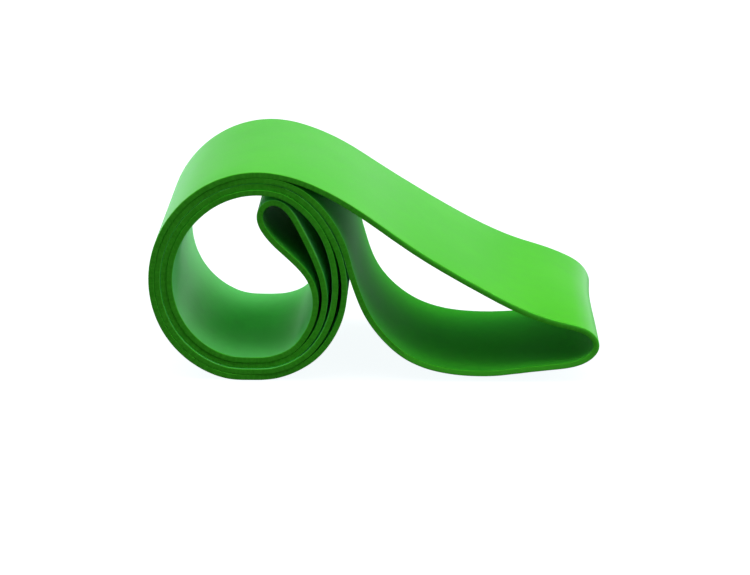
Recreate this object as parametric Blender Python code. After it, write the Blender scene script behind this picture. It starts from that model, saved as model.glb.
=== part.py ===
"""Resistance band, a flat endless loop of rubber, folded double and rolled up.

The band is moulded in one piece: a closed strip with no seam, no clip and no
handle.  It lies as people put it away: the loop is laid flat so that two
strands lie on each other, one end is tucked in as a small bight, and both
strands are wound round that bight into a roll.  What is left of the loop
stands open beside the roll and comes down to the table.

The strip's middle line is one closed curve in the XZ plane.  It is made of
  * strand A, which leaves the free loop over the top of the roll and is its
    outermost turn, then dives under strand B and becomes the third layer,
  * strand B, which climbs out of the free loop against the right side of the
    roll and is the second layer, then the innermost one,
  * the bight, where A and B turn into each other inside the roll,
  * the free loop, a little more open at its back edge than at its front edge.
The ribbon is ruled between the front curve and the back curve, thickened
evenly to both sides, and its four long corners are rounded.

X runs from the roll to the free loop, Y across the band (front edge at -Y),
Z up.  The origin is under the middle of the whole thing, on the table.
"""
import math

import bmesh
import bpy
import numpy as np

# ---------------------------------------------------------------- dimensions, mm
FLAT_LENGTH = 300.0        # of the loop laid flat, half its circumference
BAND_WIDTH = 50.0          # across the strip
BAND_THICKNESS = 1.1       # of the sheet
EDGE_ROUNDING = 0.22       # rounding of the four long corners
LAYER_GAP = 0.09           # air between two touching layers of the roll
CORE_HEIGHT = 21.10        # centre of the roll above the table

# The lines below draw how the strip lies.  The finished middle line is then
# scaled as a whole so that the loop is exactly twice FLAT_LENGTH long.

# Outer skin of the roll: (angle from +X in degrees, radius).
ROLL_OUTLINE = ((70, 21.35), (95, 20.50), (125, 19.56), (155, 19.24),
                (185, 19.60), (215, 20.38), (245, 21.12), (272, 21.50),
                (300, 21.48))
# Middle of strand A from the underside, up the right side and under strand B.
A_RIGHT = ((320, 20.43), (335, 19.80), (350, 19.08), (366, 18.42),
           (381, 18.05), (401, 18.12), (416, 18.36))
# Middle of strand B where it meets the roll, on the outside.
B_ARRIVAL = ((11, 19.60), (26, 19.38), (41, 19.42), (56, 19.66))
# Middle of strand B one turn further in, hanging clear of strand A.
B_RIGHT = ((314, 19.20), (329, 18.35), (345, 17.45), (360, 16.88),
           (378, 16.66), (396, 16.80), (414, 17.06))
# Middle lines of the two inner layers where they leave the turn for the bight.
A_TO_BIGHT = ((309, 18.05), (319, 17.52), (329, 16.74))
B_TO_BIGHT = ((309, 16.66), (319, 15.92), (329, 15.05))
# The bight inside the roll, from strand A round to strand B: (x, height).
BIGHT = ((15.0, 16.2), (14.5, 20.1), (12.5, 25.6), (9.9, 30.9), (7.4, 34.8),
         (5.2, 36.0), (3.3, 35.4), (2.0, 33.1), (2.8, 30.5), (5.6, 27.1),
         (9.9, 23.1), (12.2, 20.1), (13.2, 16.1))
# The free loop from strand B's foot of the roll round to strand A: (x, height).
# The front edge stands a millimetre off the table, the back edge lies on it.
LOOP_FRONT = ((20.0, 21.7), (21.25, 17.9), (22.7, 14.2), (24.9, 10.6),
              (27.6, 7.45), (30.8, 4.9), (34.5, 3.2), (40.0, 2.0),
              (46.0, 1.65), (53.7, 2.4), (61.1, 3.3), (65.5, 4.45),
              (68.1, 7.4), (66.8, 9.6), (63.3, 11.0), (56.2, 13.15),
              (45.7, 18.3), (32.4, 26.05), (23.0, 32.8), (16.3, 37.0),
              (11.0, 39.5))
LOOP_BACK = ((19.9, 21.7), (21.0, 17.7), (22.1, 14.1), (24.0, 10.3),
             (26.9, 6.9), (30.6, 4.05), (34.4, 2.25), (40.0, 0.95),
             (46.0, 0.55), (53.7, 0.85), (61.2, 2.0), (65.7, 4.1),
             (67.7, 7.5), (66.1, 11.0), (62.4, 13.2), (55.5, 15.4),
             (44.7, 19.5), (31.9, 27.0), (22.9, 32.8), (16.3, 36.95),
             (11.0, 39.4))

STEP_STRAIGHT = 2.3        # longest facet along the strip
STEP_PER_RADIUS = 0.20     # facet length per millimetre of bend radius
MM = 0.001


# ---------------------------------------------------------------- curve tools
def spline_through(knots, values, periodic=False):
    """Second-order smooth cubic through values at knots; returns f(x)."""
    t = np.asarray(knots, float)
    p = np.asarray(values, float)
    if p.ndim == 1:
        p = p[:, None]
    n = len(t)
    h = np.diff(t)
    a = np.zeros((n, n))
    b = np.zeros((n, p.shape[1]))
    slope = np.diff(p, axis=0) / h[:, None]
    for i in range(1, n - 1):
        a[i, i - 1], a[i, i], a[i, i + 1] = h[i - 1], 2 * (h[i - 1] + h[i]), h[i]
        b[i] = 6 * (slope[i] - slope[i - 1])
    if periodic:
        a[0, 0], a[0, n - 1] = 1.0, -1.0
        a[n - 1, 0], a[n - 1, 1] = 2 * h[0], h[0]
        a[n - 1, n - 2], a[n - 1, n - 1] = h[-1], 2 * h[-1]
        b[n - 1] = 6 * (slope[0] - slope[-1])
    else:
        a[0, 0] = a[n - 1, n - 1] = 1.0
    m = np.linalg.solve(a, b)

    def value(x):
        x = np.asarray(x, float)
        i = np.clip(np.searchsorted(t, x, side="right") - 1, 0, n - 2)
        u, v = (x - t[i])[:, None], (t[i + 1] - x)[:, None]
        hh = h[i][:, None]
        return (m[i] * v ** 3 + m[i + 1] * u ** 3) / (6 * hh) \
            + (p[i] / hh - m[i] * hh / 6) * v + (p[i + 1] / hh - m[i + 1] * hh / 6) * u
    return value


def polar(points):
    """(angle, radius) about the roll's core -> (x, height)."""
    q = np.asarray(points, float)
    a = np.radians(q[:, 0])
    return np.column_stack([q[:, 1] * np.cos(a), CORE_HEIGHT + q[:, 1] * np.sin(a)])


def layer(first, last, depth, step=5.0):
    """Middle of the layer `depth` turns under the skin, as (angle, radius).

    The skin stops at the table: the roll is a little flat where it stands.
    """
    pitch = BAND_THICKNESS + LAYER_GAP
    angles = np.arange(first, last + 0.1, step)
    skin = spline_through(*zip(*ROLL_OUTLINE))(angles)[:, 0]
    down = np.maximum(-np.sin(np.radians(angles)), 1e-3)
    skin = np.minimum(skin, CORE_HEIGHT / down)
    return np.column_stack([angles, skin - BAND_THICKNESS / 2 - depth * pitch])


def centre_line(loop):
    """The whole closed middle line: A's turns, the bight, B's turns, the loop."""
    a_turns = np.vstack([layer(80, 305, 0), A_RIGHT,
                         layer(70, 300, 2) + (360, 0)])
    b_turns = np.vstack([B_ARRIVAL, layer(70, 300, 1), B_RIGHT,
                         layer(70, 300, 3) + (360, 0)])
    path = np.vstack([polar(a_turns), polar(A_TO_BIGHT), BIGHT,
                      polar(B_TO_BIGHT)[::-1], polar(b_turns)[::-1], loop])
    closed = np.vstack([path, path[:1]])
    chord = np.concatenate([[0], np.cumsum(np.hypot(*np.diff(closed, axis=0).T))])
    curve = spline_through(chord, closed, periodic=True)
    fine = curve(np.linspace(0, chord[-1], 4801)[:-1])
    for _ in range(260):                    # take out the last unevenness
        fine = 0.5 * fine + 0.25 * (np.roll(fine, 1, 0) + np.roll(fine, -1, 0))
    size = 2 * FLAT_LENGTH / arc(fine)[-1]
    table = BAND_THICKNESS / 2              # height of the middle line lying flat
    fine = np.column_stack([fine[:, 0] * size, (fine[:, 1] - table) * size + table])
    fine[fine[:, 1] < table + 0.03, 1] = table
    return fine


def arc(points):
    d = np.hypot(*(np.roll(points, -1, 0) - points).T)
    return np.concatenate([[0], np.cumsum(d)])


def at_length(points, s):
    length = arc(points)
    closed = np.vstack([points, points[:1]])
    s = np.mod(s, length[-1])
    return np.column_stack([np.interp(s, length, closed[:, k]) for k in (0, 1)])


def stations(points):
    """Arc lengths of the cross lines: long facets on flat runs, short in bends."""
    n = len(points)
    length = arc(points)
    a, b, c = np.roll(points, 8, 0), points, np.roll(points, -8, 0)
    cross = (b - a)[:, 0] * (c - b)[:, 1] - (b - a)[:, 1] * (c - b)[:, 0]
    bend = 2 * np.abs(cross) / (np.hypot(*(b - a).T) * np.hypot(*(c - b).T)
                                * np.hypot(*(c - a).T))
    want = np.minimum(STEP_STRAIGHT, STEP_PER_RADIUS / np.maximum(bend, 1e-6) + 0.35)
    density = 1.0 / want
    for _ in range(40):
        density = 0.5 * density + 0.25 * (np.roll(density, 1) + np.roll(density, -1))
    count = np.concatenate([[0], np.cumsum(density * np.diff(length))])
    total = int(round(count[-1]))
    return np.interp(np.arange(total) * count[-1] / total, count, length)


# ---------------------------------------------------------------- model
def band_mesh(name):
    """The ribbon between the front row and the back row of cross-line ends."""
    front = centre_line(LOOP_FRONT)
    back = centre_line(LOOP_BACK)
    s = stations(front)
    rows = [at_length(front, s), at_length(back, s)]
    x = np.concatenate([row[:, 0] for row in rows])
    middle = (x.min() + x.max()) / 2
    half = BAND_WIDTH / 2

    bm = bmesh.new()
    near = [bm.verts.new(((x - middle) * MM, -half * MM, z * MM)) for x, z in rows[0]]
    ring = [bm.edges.new((near[i - 1], near[i])) for i in range(len(near))]
    made = bmesh.ops.extrude_edge_only(bm, edges=ring)["geom"]
    order = {v: i for i, v in enumerate(near)}
    for v in made:
        if isinstance(v, bmesh.types.BMVert):
            twin = next(e.other_vert(v) for e in v.link_edges if e.other_vert(v) in order)
            x, z = rows[1][order[twin]]
            v.co = ((x - middle) * MM, half * MM, z * MM)
    bmesh.ops.recalc_face_normals(bm, faces=bm.faces[:])
    mesh = bpy.data.meshes.new(name)
    bm.to_mesh(mesh)
    bm.free()
    return mesh


def rubber():
    mat = bpy.data.materials.new("green_latex")
    mat.use_nodes = True
    shader = mat.node_tree.nodes["Principled BSDF"]
    shader.inputs["Base Color"].default_value = (0.085, 0.52, 0.045, 1.0)
    shader.inputs["Roughness"].default_value = 0.45
    shader.inputs["Metallic"].default_value = 0.0
    mat.diffuse_color = (0.085, 0.52, 0.045, 1.0)
    return mat


def main():
    for obj in list(bpy.data.objects):
        bpy.data.objects.remove(obj, do_unlink=True)
    mesh = band_mesh("loop_band")
    mesh.materials.append(rubber())
    band = bpy.data.objects.new("loop_band", mesh)
    bpy.context.scene.collection.objects.link(band)

    sheet = band.modifiers.new("thickness", "SOLIDIFY")
    sheet.thickness = BAND_THICKNESS * MM
    sheet.offset = 0.0
    sheet.use_even_offset = True

    corner = band.modifiers.new("long_corners", "BEVEL")
    corner.width = EDGE_ROUNDING * MM
    corner.segments = 1
    corner.limit_method = "ANGLE"
    corner.angle_limit = math.radians(60)
    corner.use_clamp_overlap = False

    mesh.shade_smooth()
    mesh.set_sharp_from_angle(angle=math.radians(40))


main()
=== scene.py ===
import math

import bpy
import numpy as np
from mathutils import Matrix, Vector


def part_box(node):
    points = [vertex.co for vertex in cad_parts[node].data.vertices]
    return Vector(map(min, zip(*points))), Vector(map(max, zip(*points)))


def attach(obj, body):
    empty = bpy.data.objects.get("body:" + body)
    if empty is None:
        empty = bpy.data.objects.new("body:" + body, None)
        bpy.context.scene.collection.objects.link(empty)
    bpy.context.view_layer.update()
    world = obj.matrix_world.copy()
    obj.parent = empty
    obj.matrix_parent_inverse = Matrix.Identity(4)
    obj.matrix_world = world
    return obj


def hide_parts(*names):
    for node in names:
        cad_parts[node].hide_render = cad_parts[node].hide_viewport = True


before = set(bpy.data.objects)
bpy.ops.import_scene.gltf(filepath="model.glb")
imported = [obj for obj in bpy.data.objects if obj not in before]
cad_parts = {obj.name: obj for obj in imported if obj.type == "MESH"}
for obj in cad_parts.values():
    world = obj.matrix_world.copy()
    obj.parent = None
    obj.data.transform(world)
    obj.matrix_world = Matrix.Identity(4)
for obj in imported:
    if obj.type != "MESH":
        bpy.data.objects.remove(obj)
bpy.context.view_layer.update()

low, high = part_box("loop_band")
MM = 0.001

# ---------------------------------------------------------------- dimensions, mm
FLAT_LENGTH = 300.0
BAND_WIDTH = 50.0
BAND_THICKNESS = 1.1
SHEET = 1.15                 # drawn a hair thicker, so that wound layers all but touch
ROUND_OUTER, ROUND_INNER = 0.20, 0.08
LAYER_GAP = 0.09
CORE_HEIGHT = 21.10

ROLL_OUTLINE = ((70, 21.35), (95, 20.50), (125, 19.56), (155, 19.24),
                (185, 19.60), (215, 20.38), (245, 21.12), (272, 21.50),
                (300, 21.48))
A_RIGHT = ((320, 20.43), (335, 19.80), (350, 19.08), (366, 18.42),
           (381, 18.05), (401, 18.12), (416, 18.36))
B_ARRIVAL = ((11, 19.60), (26, 19.38), (41, 19.42), (56, 19.66))
B_RIGHT = ((314, 19.20), (329, 18.35), (345, 17.45), (360, 16.88),
           (378, 16.66), (396, 16.80), (414, 17.06))
A_TO_BIGHT = ((309, 18.05), (319, 17.52), (329, 16.74))
B_TO_BIGHT = ((309, 16.66), (319, 15.92), (329, 15.05))
BIGHT = ((15.0, 16.2), (14.5, 20.1), (12.5, 25.6), (9.9, 30.9), (7.4, 34.8),
         (5.2, 36.0), (3.3, 35.4), (2.0, 33.1), (2.8, 30.5), (5.6, 27.1),
         (9.9, 23.1), (12.2, 20.1), (13.2, 16.1))
LOOP_FRONT = ((20.0, 21.7), (21.25, 17.9), (22.7, 14.2), (24.9, 10.6),
              (27.6, 7.45), (30.8, 4.9), (34.5, 3.2), (40.0, 2.0),
              (46.0, 1.65), (53.7, 2.4), (61.1, 3.3), (65.5, 4.45),
              (68.1, 7.4), (66.8, 9.6), (63.3, 11.0), (56.2, 13.15),
              (45.7, 18.3), (32.4, 26.05), (23.0, 32.8), (16.3, 37.0),
              (11.0, 39.5))
LOOP_BACK = ((19.9, 21.7), (21.0, 17.7), (22.1, 14.1), (24.0, 10.3),
             (26.9, 6.9), (30.6, 4.05), (34.4, 2.25), (40.0, 0.95),
             (46.0, 0.55), (53.7, 0.85), (61.2, 2.0), (65.7, 4.1),
             (67.7, 7.5), (66.1, 11.0), (62.4, 13.2), (55.5, 15.4),
             (44.7, 19.5), (31.9, 27.0), (22.9, 32.8), (16.3, 36.95),
             (11.0, 39.4))


# ---------------------------------------------------------------- curve tools
def spline_through(knots, values, periodic=False):
    t = np.asarray(knots, float)
    p = np.asarray(values, float)
    if p.ndim == 1:
        p = p[:, None]
    n = len(t)
    h = np.diff(t)
    a = np.zeros((n, n))
    b = np.zeros((n, p.shape[1]))
    slope = np.diff(p, axis=0) / h[:, None]
    for i in range(1, n - 1):
        a[i, i - 1], a[i, i], a[i, i + 1] = h[i - 1], 2 * (h[i - 1] + h[i]), h[i]
        b[i] = 6 * (slope[i] - slope[i - 1])
    if periodic:
        a[0, 0], a[0, n - 1] = 1.0, -1.0
        a[n - 1, 0], a[n - 1, 1] = 2 * h[0], h[0]
        a[n - 1, n - 2], a[n - 1, n - 1] = h[-1], 2 * h[-1]
        b[n - 1] = 6 * (slope[0] - slope[-1])
    else:
        a[0, 0] = a[n - 1, n - 1] = 1.0
    m = np.linalg.solve(a, b)

    def value(x):
        x = np.asarray(x, float)
        i = np.clip(np.searchsorted(t, x, side="right") - 1, 0, n - 2)
        u, v = (x - t[i])[:, None], (t[i + 1] - x)[:, None]
        hh = h[i][:, None]
        return (m[i] * v ** 3 + m[i + 1] * u ** 3) / (6 * hh) \
            + (p[i] / hh - m[i] * hh / 6) * v + (p[i + 1] / hh - m[i + 1] * hh / 6) * u
    return value


def polar(points):
    q = np.asarray(points, float)
    a = np.radians(q[:, 0])
    return np.column_stack([q[:, 1] * np.cos(a), CORE_HEIGHT + q[:, 1] * np.sin(a)])


def layer(first, last, depth, step=5.0):
    pitch = BAND_THICKNESS + LAYER_GAP
    angles = np.arange(first, last + 0.1, step)
    skin = spline_through(*zip(*ROLL_OUTLINE))(angles)[:, 0]
    down = np.maximum(-np.sin(np.radians(angles)), 1e-3)
    flat = CORE_HEIGHT / down + 0.02                  # smooth minimum: the flat ends softly
    skin = np.minimum(skin, flat) - 0.16 * np.log1p(np.exp(-np.abs(skin - flat) / 0.16))
    return np.column_stack([angles, skin - BAND_THICKNESS / 2 - depth * pitch])


def arc(points):
    d = np.hypot(*(np.roll(points, -1, 0) - points).T)
    return np.concatenate([[0], np.cumsum(d)])


def centre_line(loop):
    a_turns = np.vstack([layer(80, 305, 0), A_RIGHT,
                         layer(70, 300, 2) + (360, 0)])
    b_turns = np.vstack([B_ARRIVAL, layer(70, 300, 1), B_RIGHT,
                         layer(70, 300, 3) + (360, 0)])
    path = np.vstack([polar(a_turns), polar(A_TO_BIGHT), BIGHT,
                      polar(B_TO_BIGHT)[::-1], polar(b_turns)[::-1], loop])
    closed = np.vstack([path, path[:1]])
    chord = np.concatenate([[0], np.cumsum(np.hypot(*np.diff(closed, axis=0).T))])
    curve = spline_through(chord, closed, periodic=True)
    fine = curve(np.linspace(0, chord[-1], 4801)[:-1])
    for _ in range(260):
        fine = 0.5 * fine + 0.25 * (np.roll(fine, 1, 0) + np.roll(fine, -1, 0))
    size = 2 * FLAT_LENGTH / arc(fine)[-1]
    table = BAND_THICKNESS / 2
    fine = np.column_stack([fine[:, 0] * size, (fine[:, 1] - table) * size + table])
    fine[fine[:, 1] < table + 0.03, 1] = table
    return fine


def at_length(points, s):
    length = arc(points)
    closed = np.vstack([points, points[:1]])
    s = np.mod(s, length[-1])
    return np.column_stack([np.interp(s, length, closed[:, k]) for k in (0, 1)])


def stations(points, longest, per_radius, least):
    length = arc(points)
    a, b, c = np.roll(points, 8, 0), points, np.roll(points, -8, 0)
    cross = (b - a)[:, 0] * (c - b)[:, 1] - (b - a)[:, 1] * (c - b)[:, 0]
    bend = 2 * np.abs(cross) / (np.hypot(*(b - a).T) * np.hypot(*(c - b).T)
                                * np.hypot(*(c - a).T))
    want = np.minimum(longest, per_radius / np.maximum(bend, 1e-6) + least)
    density = 1.0 / want
    for _ in range(40):
        density = 0.5 * density + 0.25 * (np.roll(density, 1) + np.roll(density, -1))
    count = np.concatenate([[0], np.cumsum(density * np.diff(length))])
    total = int(round(count[-1]))
    return np.interp(np.arange(total) * count[-1] / total, count, length)


def smooth_step(x):
    x = np.clip(x, 0.0, 1.0)
    return x * x * (3 - 2 * x)


def wave(s, total, seed, terms, lo, hi):
    """A closed, seeded sum of sines along the strip, about -1 to 1."""
    rng = np.random.default_rng(seed)
    out = np.zeros_like(s)
    for _ in range(terms):
        k = rng.integers(lo, hi)
        out += np.sin(2 * math.pi * k * s / total + rng.uniform(0, 2 * math.pi))
    return out / math.sqrt(terms)


# ---------------------------------------------------------------- the band
front_curve = centre_line(LOOP_FRONT)
back_curve = centre_line(LOOP_BACK)
total = arc(front_curve)[-1]
s = stations(front_curve, 0.52, 0.055, 0.10)
front = at_length(front_curve, s)
back = at_length(back_curve, s)
both = np.vstack([front_curve, back_curve])
coarse = stations(front_curve, 2.3, 0.20, 0.35)       # as the CAD's own facets
cx = np.concatenate([at_length(front_curve, coarse)[:, 0], at_length(back_curve, coarse)[:, 0]])
middle = (cx.min() + cx.max()) / 2


def bump(x, a, b, c):
    """0 at a and c, 1 at b, smooth."""
    return np.where(x < b, smooth_step((x - a) / (b - a)), smooth_step((c - x) / (c - b)))


# the back of the band lies a little looser than the front: its top is lifted off the
# turn below, and the lower right of the roll sits wider
lift = spline_through(*zip((-22, 0), (-18, 0.20), (-14, 0.33), (-8, 0.36), (8, 0.36), (20, 0.36),
                           (30, 0.42), (36, 0.58), (41, 0.70), (45, 0.64), (49, 0.50), (53, 0.38),
                           (57, 0.37), (61, 0.22), (65, 0.02), (69, 0.0)))(
    np.clip(back[:, 0], -22, 69))[:, 0]
on_top = np.maximum(smooth_step((s - (total - 92.0)) / 10.0), smooth_step((36.0 - s) / 12.0) * (s < 60))
theta = np.degrees(np.arctan2(back[:, 1] - CORE_HEIGHT, back[:, 0])) % 360
around = np.hypot(back[:, 0], back[:, 1] - CORE_HEIGHT)
wider = 0.50 * bump(theta, 276, 306, 348) * smooth_step((around - 13.5) / 1.5) * smooth_step((24.0 - around) / 2.0)
back = back + np.column_stack([wider * np.cos(np.radians(theta)), lift * on_top + wider * np.sin(np.radians(theta))])
low_front = smooth_step((front[:, 0] - 44.0) / 6.0) * smooth_step((6.0 - front[:, 1]) / 3.0)
front = front - np.column_stack([0 * low_front, 0.10 * low_front])
front[:, 1] = np.maximum(front[:, 1], BAND_THICKNESS / 2)


def across(points):
    t = np.roll(points, -1, 0) - np.roll(points, 1, 0)
    t /= np.hypot(*t.T)[:, None]
    return np.column_stack([t[:, 1], -t[:, 0]])


n_front, n_back = across(front), across(back)
# how far each cross line is from the roll: 0 on the wound turns, 1 on the free loop
radius = np.hypot(front[:, 0], front[:, 1] - CORE_HEIGHT)
free = smooth_step((radius - 23.0) / 10.0)
free_top = free * smooth_step((front[:, 1] - 5.0) / 3.0)

# the strip's section, as a closed ring: y across the band, w through it, where it
# is cut face (0 to 1), where it is corner (0 to 1) and which face it is on (1 outer, 0 inner)
half, t2 = BAND_WIDTH / 2, SHEET / 2
FLATS, CORNER, RIM = 26, 5, 4
section = []


def face_row(sign, r):
    ys = np.linspace(-1, 1, FLATS + 1)
    ys = np.sign(ys) * (half - r) * (1 - (1 - np.abs(ys)) ** 1.5)
    side = 1.0 if sign > 0 else 0.0
    return [(sign * y, sign * t2, 0.0, 0.0, side) for y in ys[1:-1]]


def corner(end, sign, r):
    """From the face into the cut edge; end is +1 back, -1 front; sign +1 outer face."""
    rows = []
    for k in range(CORNER + 1):
        a = math.pi / 2 * k / CORNER
        rows.append((end * (half - r + r * math.sin(a)), sign * (t2 - r + r * math.cos(a)),
                     min(1.0, max(0.0, 1.9 * k / CORNER - 0.9)),
                     math.sin(math.pi * k / CORNER) ** 0.7 if 0 < k < CORNER else 0.0,
                     1.0 if sign > 0 else 0.0))
    return rows


def cut_rows(end, first, last):
    return [(end * half, first + (last - first) * k / RIM, 1.0, 0.0, 0.5) for k in range(1, RIM)]


section += face_row(+1, ROUND_OUTER)
section += corner(+1, +1, ROUND_OUTER)
section += cut_rows(+1, t2 - ROUND_OUTER, -(t2 - ROUND_INNER))
section += corner(+1, -1, ROUND_INNER)[::-1]
section += face_row(-1, ROUND_INNER)
section += corner(-1, -1, ROUND_INNER)
section += cut_rows(-1, -(t2 - ROUND_INNER), t2 - ROUND_OUTER)
section += corner(-1, +1, ROUND_OUTER)[::-1]
sec = np.array(section)
m, n = len(sec), len(s)

# real strips aren't cut dead straight, and the turns don't lie dead level
edge_front = 0.05 * wave(s, total, 3, 7, 6, 40) + 0.02 * wave(s, total, 5, 9, 60, 190)
edge_back = 0.05 * wave(s, total, 11, 7, 6, 40) + 0.02 * wave(s, total, 13, 9, 60, 190)
shift = 0.16 * wave(s, total, 21, 4, 1, 5)
ripple = 0.10 * wave(s, total, 31, 4, 9, 22)

v = (sec[:, 0] / half + 1) / 2                          # 0 at the front edge, 1 at the back
C = front[:, None, :] * (1 - v)[None, :, None] + back[:, None, :] * v[None, :, None]
N = n_front[:, None, :] * (1 - v)[None, :, None] + n_back[:, None, :] * v[None, :, None]
N /= np.linalg.norm(N, axis=2, keepdims=True)
# the loop's end is drawn in a little between its two edges
waist = spline_through(*zip((0, 0.18), (0.3, -0.06), (0.6, -0.30), (0.8, -0.20), (1, 0.26)))(v)[:, 0]
C = C + np.stack([smooth_step((front[:, 0] - 60.0) / 6.0)[:, None] * waist[None, :], np.zeros((n, m))], axis=2)
wobble = free[:, None] * ripple[:, None] * (0.35 + 0.65 * np.cos(math.pi * (v[None, :] - 0.35)))
P = C + N * (sec[:, 1][None, :, None] + wobble[:, :, None])
Y = sec[:, 0][None, :] + shift[:, None] + np.where(sec[:, 0][None, :] < 0, 1, 0) * (1 - v[None, :]) ** 6 * edge_front[:, None] \
    + np.where(sec[:, 0][None, :] > 0, 1, 0) * (v[None, :]) ** 6 * edge_back[:, None]
co = np.stack([(P[:, :, 0] - middle) * MM, Y * MM, np.maximum(P[:, :, 1], 0.0) * MM], axis=2).reshape(-1, 3)

i = np.arange(n)[:, None]
j = np.arange(m)[None, :]
i2, j2 = (i + 1) % n, (j + 1) % m
quads = np.stack([(i * m + j), (i * m + j2), (i2 * m + j2), (i2 * m + j)], axis=-1).reshape(-1, 4)

mesh = bpy.data.meshes.new("band_sheet")
mesh.vertices.add(len(co))
mesh.vertices.foreach_set("co", co.astype(np.float32).ravel())
mesh.loops.add(quads.size)
mesh.loops.foreach_set("vertex_index", quads.astype(np.int32).ravel())
mesh.polygons.add(len(quads))
mesh.polygons.foreach_set("loop_start", np.arange(0, quads.size, 4, dtype=np.int32))
mesh.polygons.foreach_set("loop_total", np.full(len(quads), 4, np.int32))
mesh.update(calc_edges=True)
mesh.validate()

# strip coordinates for the material, in metres: along, across
uv = mesh.uv_layers.new(name="strip")
along = np.repeat(s, m)
ring = np.concatenate([[0], np.cumsum(np.hypot(np.diff(sec[:, 0]), np.diff(sec[:, 1])))])
vert_uv = np.column_stack([along, np.tile(ring, n)])
loops = quads.ravel()
lu = vert_uv[loops]
last_row = (loops // m == 0) & (np.repeat(np.arange(len(quads)) // m, 4) == n - 1)
lu[last_row, 0] = total
last_col = (loops % m == 0) & (np.repeat(np.arange(len(quads)) % m, 4) == m - 1)
lu[last_col, 1] = ring[-1] + np.hypot(*(sec[-1, :2] - sec[0, :2]))
uv.data.foreach_set("uv", (lu * MM).astype(np.float32).ravel())
low_strand = smooth_step((front[:, 0] - 21.0) / 12.0) * smooth_step((7.5 - front[:, 1]) / 3.0)
turn = smooth_step((60.0 - front[:, 0]) / 70.0) * free_top + (1 - free_top)
tip = smooth_step((front[:, 0] - 63.0) / 4.0) * 0.8
# partly real powder, partly painted sheen and reflection: stronger over the roll and the loop's top near the roll,
# towards the back edge, and a painted reflection at the loop's right end (tip)
dust_and_sheen = np.clip(0.30 + 1.00 * turn[:, None] + tip[:, None] + 0.75 * (v[None, :] - 0.55), 0.0, 1.8) \
    * (1 + 0.18 * wave(s, total, 41, 5, 5, 30)[:, None])
outermost = np.clip(smooth_step((100.0 - s) / 20.0) + smooth_step((s - (total - 110.0)) / 15.0), 0, 1)
dust_and_sheen = dust_and_sheen * (0.55 + 0.45 * outermost[:, None])
# on the cut faces this mask is painted light: lighter cuts on the loop's lower strand and towards the top face of
# the loop's top strand
dust_and_sheen = np.where(sec[None, :, 2] > 0.5, low_strand[:, None]
                + free_top[:, None] * np.clip(0.45 + 1.3 * sec[None, :, 1] / t2, 0.1, 1.25), dust_and_sheen)
dust_and_sheen_data = mesh.attributes.new("dust_and_sheen", "FLOAT", "POINT")
dust_and_sheen_data.data.foreach_set("value", dust_and_sheen.astype(np.float32).ravel())
for name, column in (("cut", 2), ("corner", 3), ("outer", 4)):
    layer_data = mesh.attributes.new(name, "FLOAT", "POINT")
    values = np.repeat(sec[None, :, column], n, axis=0)
    if name == "corner":                      # the painted corner highlight is wider on the free loop's top
        values = values * (1 + 0.9 * (free_top * outermost)[:, None] * sec[None, :, 4])
    layer_data.data.foreach_set("value", values.astype(np.float32).ravel())
mesh.shade_smooth()

band = bpy.data.objects.new("band_sheet", mesh)
bpy.context.scene.collection.objects.link(band)


# ---------------------------------------------------------------- materials
def nodes_of(name):
    mat = bpy.data.materials.new(name)
    mat.use_nodes = True
    nt = mat.node_tree
    bsdf = nt.nodes["Principled BSDF"]
    return mat, nt, bsdf


def node(nt, kind, **values):
    x = nt.nodes.new(kind)
    for k, val in values.items():
        if k.startswith("in_"):
            x.inputs[k[3:].replace("_", " ")].default_value = val
        else:
            setattr(x, k, val)
    return x


def mix_colour(nt, fac, a, b, blend="MIX"):
    x = nt.nodes.new("ShaderNodeMix")
    x.data_type = "RGBA"
    x.blend_type = blend
    ins = [q for q in x.inputs if q.enabled]
    f, ca, cb = x.inputs[0], x.inputs[6], x.inputs[7]
    for socket, value in ((f, fac), (ca, a), (cb, b)):
        if isinstance(value, (int, float)):
            socket.default_value = value
        elif isinstance(value, tuple):
            socket.default_value = value
        else:
            nt.links.new(value, socket)
    return x.outputs[2]


def maths(nt, kind, a, b=None, c=None, clamp=False):
    x = nt.nodes.new("ShaderNodeMath")
    x.operation = kind
    x.use_clamp = clamp
    for k, val in enumerate((a, b, c)):
        if val is None:
            continue
        if isinstance(val, (int, float)):
            x.inputs[k].default_value = val
        else:
            nt.links.new(val, x.inputs[k])
    return x.outputs[0]


def noise(nt, vector, scale, detail=3.0, rough=0.55, dims="3D"):
    x = node(nt, "ShaderNodeTexNoise", noise_dimensions=dims, in_Scale=scale, in_Detail=detail, in_Roughness=rough)
    nt.links.new(vector, x.inputs["Vector"])
    return x.outputs["Fac"]


def ramp(nt, value, lo, hi, to_lo=0.0, to_hi=1.0):
    x = nt.nodes.new("ShaderNodeMapRange")
    x.interpolation_type = "SMOOTHSTEP"
    nt.links.new(value, x.inputs["Value"])
    for key, val in (("From Min", lo), ("From Max", hi), ("To Min", to_lo), ("To Max", to_hi)):
        x.inputs[key].default_value = val
    return x.outputs["Result"]


def stretched(nt, vector, sx, sy):
    x = nt.nodes.new("ShaderNodeMapping")
    x.inputs["Scale"].default_value = (sx, sy, 1.0)
    nt.links.new(vector, x.inputs["Vector"])
    return x.outputs["Vector"]


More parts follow.
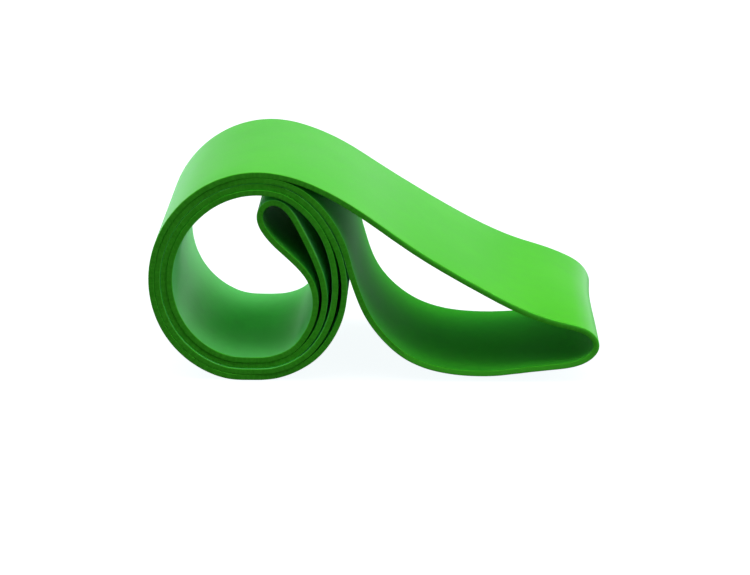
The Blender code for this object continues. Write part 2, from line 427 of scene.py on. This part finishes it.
def latex(name, level, coat, rough_lo, shade, sheen):
    """The sheet's rubber; the outer face is glossier than the inner face and the cuts."""
    mat, nt, bsdf = nodes_of(name)
    link = nt.links.new
    cut_ = node(nt, "ShaderNodeAttribute", attribute_name="cut").outputs["Fac"]
    corner_ = node(nt, "ShaderNodeAttribute", attribute_name="corner").outputs["Fac"]
    outer_ = node(nt, "ShaderNodeAttribute", attribute_name="outer").outputs["Fac"]
    uv_ = node(nt, "ShaderNodeUVMap", uv_map="strip").outputs["UV"]
    obj = node(nt, "ShaderNodeTexCoord").outputs["Object"]

    # body colour of the rubber: cloudy, a little denser green in places
    cloud = noise(nt, obj, 60.0, 4.0)
    mottle = noise(nt, obj, 420.0, 3.0)
    blend = maths(nt, "MULTIPLY_ADD", mottle, 0.35, maths(nt, "MULTIPLY", cloud, 0.65))
    face = mix_colour(nt, ramp(nt, blend, 0.35, 0.65), (*shade[0], 1), (*shade[1], 1))
    # cut faces: denser, duller green with knife marks across the thickness
    marks = noise(nt, stretched(nt, uv_, 1500.0, 350.0), 1.0, 3.0, 0.6, "2D")
    cutc = mix_colour(nt, ramp(nt, marks, 0.30, 0.70), (0.050, 0.460, 0.016, 1), (0.066, 0.540, 0.024, 1))
    dust_and_sheen_in = node(nt, "ShaderNodeAttribute", attribute_name="dust_and_sheen").outputs["Fac"]
    # painted light: the cut faces are lightened where the powder-and-sheen mask lies
    cutc = mix_colour(nt, maths(nt, "MULTIPLY", dust_and_sheen_in, 0.80, clamp=True), cutc, (0.115, 0.900, 0.048, 1))
    base = mix_colour(nt, cut_, face, cutc)
    # pale bloom on the outer face, in drifts: partly fine powder, partly painted sheen and reflection where the mask
    # above is strong
    drift = ramp(nt, noise(nt, obj, 26.0, 3.0), 0.38, 0.66)
    specks = ramp(nt, noise(nt, obj, 2600.0, 2.0), 0.48, 0.70)
    bloom_and_sheen = maths(nt, "MULTIPLY", maths(nt, "MULTIPLY_ADD", specks, 0.06, 0.110), maths(nt, "MULTIPLY_ADD", drift, 0.3, 0.7))
    bloom_and_sheen = maths(nt, "MULTIPLY", bloom_and_sheen, dust_and_sheen_in)
    bloom_and_sheen = maths(nt, "MULTIPLY", bloom_and_sheen, maths(nt, "MULTIPLY", outer_, maths(nt, "SUBTRACT", 1.0, cut_)))
    base = mix_colour(nt, bloom_and_sheen, base, (0.62, 0.74, 0.66, 1))
    # a painted highlight line along the rounded corners, broken up by noise
    highlight_breakup = ramp(nt, noise(nt, stretched(nt, uv_, 240.0, 700.0), 1.0, 4.0, 0.6, "2D"), 0.36, 0.66)
    corner_highlight = maths(nt, "MULTIPLY", corner_, maths(nt, "MULTIPLY_ADD", highlight_breakup, 0.45, 0.15), clamp=True)
    base = mix_colour(nt, corner_highlight, base, (0.11, 0.90, 0.045, 1))
    link(base, bsdf.inputs["Base Color"])

    # relief: long calender lines on the faces, fine pores, knife marks on the cut
    lines = noise(nt, stretched(nt, uv_, 45.0, 2400.0), 1.0, 3.0, 0.6, "2D")
    pore = noise(nt, obj, 3000.0, 2.0, 0.5)
    skin = maths(nt, "MULTIPLY_ADD", lines, 0.5, maths(nt, "MULTIPLY", pore, 0.8))
    knife = maths(nt, "MULTIPLY", noise(nt, stretched(nt, uv_, 2600.0, 500.0), 1.0, 3.0, 0.65, "2D"), 2.4)
    pick = nt.nodes.new("ShaderNodeMix")
    pick.data_type = "FLOAT"
    link(cut_, pick.inputs[0])
    link(skin, pick.inputs[2])
    link(knife, pick.inputs[3])
    bump = node(nt, "ShaderNodeBump", in_Strength=0.35, in_Distance=0.00003)
    link(pick.outputs[0], bump.inputs["Height"])
    link(bump.outputs["Normal"], bsdf.inputs["Normal"])

    # satin face, rougher where the bloom (powder and painted sheen) lies, matt cut
    rough = maths(nt, "MULTIPLY_ADD", ramp(nt, blend, 0.3, 0.7), 0.07, rough_lo)
    rough = maths(nt, "ADD", rough, maths(nt, "MULTIPLY", bloom_and_sheen, 0.4), clamp=True)
    link(rough, bsdf.inputs["Roughness"])
    bsdf.inputs["IOR"].default_value = 1.45
    bsdf.inputs["Specular IOR Level"].default_value = level
    bsdf.inputs["Coat Weight"].default_value = coat
    bsdf.inputs["Sheen Weight"].default_value = sheen
    bsdf.inputs["Sheen Roughness"].default_value = 0.45
    bsdf.inputs["Sheen Tint"].default_value = (0.08, 1.0, 0.22, 1)
    bsdf.inputs["Coat Roughness"].default_value = 0.16
    bsdf.inputs["Coat IOR"].default_value = 1.45
    bsdf.inputs["Subsurface Weight"].default_value = 0.12
    bsdf.inputs["Subsurface Radius"].default_value = (0.25, 1.0, 0.20)
    bsdf.inputs["Subsurface Scale"].default_value = 0.0006
    return mat


def floor_paper():
    """Pale paper, lit through from below as on a light table, so it is near white."""
    mat, nt, bsdf = nodes_of("pale_paper")
    obj = node(nt, "ShaderNodeTexCoord").outputs["Object"]
    tone = noise(nt, obj, 900.0, 3.0)
    col = mix_colour(nt, tone, (0.22, 0.22, 0.22, 1), (0.25, 0.25, 0.25, 1))
    nt.links.new(col, bsdf.inputs["Base Color"])
    bsdf.inputs["Roughness"].default_value = 0.9
    bsdf.inputs["Specular IOR Level"].default_value = 0.0
    glow = mix_colour(nt, noise(nt, obj, 3.0, 2.0), (0.86, 0.90, 0.92, 1), (0.88, 0.91, 0.93, 1))
    nt.links.new(glow, bsdf.inputs["Emission Color"])
    bsdf.inputs["Emission Strength"].default_value = 1.04
    return mat


mesh.materials.append(latex("green_latex_outer", 0.12, 0.06, 0.38,
                            ((0.094, 0.635, 0.005), (0.110, 0.690, 0.009)), 0.50))
# the inner face's copy has a darker base: painted shade for the loop's interior
mesh.materials.append(latex("green_latex_inner_painted_shade", 0.01, 0.0, 0.55,
                            ((0.042, 0.490, 0.010), (0.052, 0.535, 0.014)), 0.30))
mesh.materials.append(latex("green_latex_cut", 0.08, 0.0, 0.62,
                            ((0.080, 0.600, 0.010), (0.095, 0.660, 0.015)), 0.0))
on_cut = sec[:, 2] + np.roll(sec[:, 2], -1) > 0.8
on_outer = sec[:, 4] + np.roll(sec[:, 4], -1) > 1.0
# the core's copy is lighter and bluer than the outer face: painted light and painted reflection for the roll's
# interior
mesh.materials.append(latex("green_latex_core_painted_light", 0.06, 0.03, 0.46,
                            ((0.130, 0.740, 0.135), (0.150, 0.800, 0.155)), 0.50))
which = np.where(on_cut, 2, np.where(on_outer, 0, 1)).astype(np.int32)
which = np.repeat(which[None, :], n, axis=0)
which[(which == 0) & (outermost[:, None] < 0.5)] = 3       # the wound turns, seen in the core
mesh.polygons.foreach_set("material_index", which.ravel())
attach(band, "root")
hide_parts("loop_band")

# ---------------------------------------------------------------- stage
bpy.ops.mesh.primitive_plane_add(size=6.0, location=(0, 1.2, -0.00005))
floor = bpy.context.object
floor.name = "floor"
floor.data.materials.append(floor_paper())
floor.visible_diffuse = floor.visible_glossy = False


def area(name, at, towards, size, power, colour=(1, 1, 1)):
    data = bpy.data.lights.new(name, "AREA")
    data.shape = "RECTANGLE"
    data.size, data.size_y = size
    data.energy = power
    data.color = colour
    ob = bpy.data.objects.new(name, data)
    bpy.context.scene.collection.objects.link(ob)
    ob.location = at
    aim = Vector(towards) - Vector(at)
    ob.rotation_euler = aim.to_track_quat("-Z", "Y").to_euler()
    return ob


def radiance(size, value):
    return math.pi * size[0] * size[1] * value


for name, at, towards, size, value, colour in (
        ("softbox_top", (0.0, 0.02, 1.15), (0.0, 0.0, 0.02), (1.9, 1.3), 1.70, (1.0, 1.0, 1.0)),
        ("softbox_right", (0.98, 0.55, 0.56), (0.0, 0.0, 0.02), (1.3, 0.9), 1.40, (1.0, 1.0, 1.0)),
        ("softbox_left", (-0.95, 0.60, 0.56), (0.0, 0.0, 0.02), (1.3, 0.9), 1.35, (0.96, 1.0, 1.0)),
        ("strip_right", (0.88, 0.80, 0.20), (0.0, 0.0, 0.02), (0.8, 0.34), 1.60, (0.94, 1.0, 1.0)),
        ("softbox_front", (-0.10, -0.85, 0.95), (0.0, 0.0, 0.02), (1.6, 0.6), 0.45, (1.0, 1.0, 0.98)),
        ("fill_right", (1.05, -0.62, 0.50), (0.0, 0.0, 0.02), (0.8, 0.7), 1.00, (1.0, 1.0, 0.90)),
        ("horizon_strip", (0.0, 1.25, 0.09), (0.0, 0.0, 0.09), (1.8, 0.17), 0.80, (1.0, 1.0, 1.0)),
        ("light_table", (0.0, 0.67, 0.0005), (0.0, 0.67, 1.0), (2.2, 1.2), 2.50, (0.80, 1.0, 0.94))):
    lamp = area(name, at, towards, size, radiance(size, value), colour)
    if name == "light_table":
        lamp.visible_camera = False

world = bpy.data.worlds.new("studio")
bpy.context.scene.world = world
world.use_nodes = True
world.node_tree.nodes["Background"].inputs[0].default_value = (0.90, 0.97, 1.0, 1)
world.node_tree.nodes["Background"].inputs[1].default_value = 0.10

# ---------------------------------------------------------------- camera
ELEVATION, YAW, FOCAL = math.radians(14.48), math.radians(-1.5811), 3490.94
cam_data = bpy.data.cameras.new("camera")
cam_data.sensor_fit = "HORIZONTAL"
cam_data.sensor_width = 36.0
cam_data.lens = 36.0 * FOCAL / 750.0
cam_data.clip_start, cam_data.clip_end = 0.01, 20.0
cam = bpy.data.objects.new("camera", cam_data)
bpy.context.scene.collection.objects.link(cam)
F = Vector((math.sin(YAW) * math.cos(ELEVATION), math.cos(YAW) * math.cos(ELEVATION), -math.sin(ELEVATION)))
R = Vector((math.cos(YAW), -math.sin(YAW), 0.0))
U = R.cross(F)
place = Vector((0.018578, -0.025 - 0.6608, 0.189754))
cam.matrix_world = Matrix((
    (R.x, U.x, -F.x, place.x), (R.y, U.y, -F.y, place.y), (R.z, U.z, -F.z, place.z), (0, 0, 0, 1)))
bpy.context.scene.camera = cam
bpy.context.scene.view_settings.view_transform = "Standard"
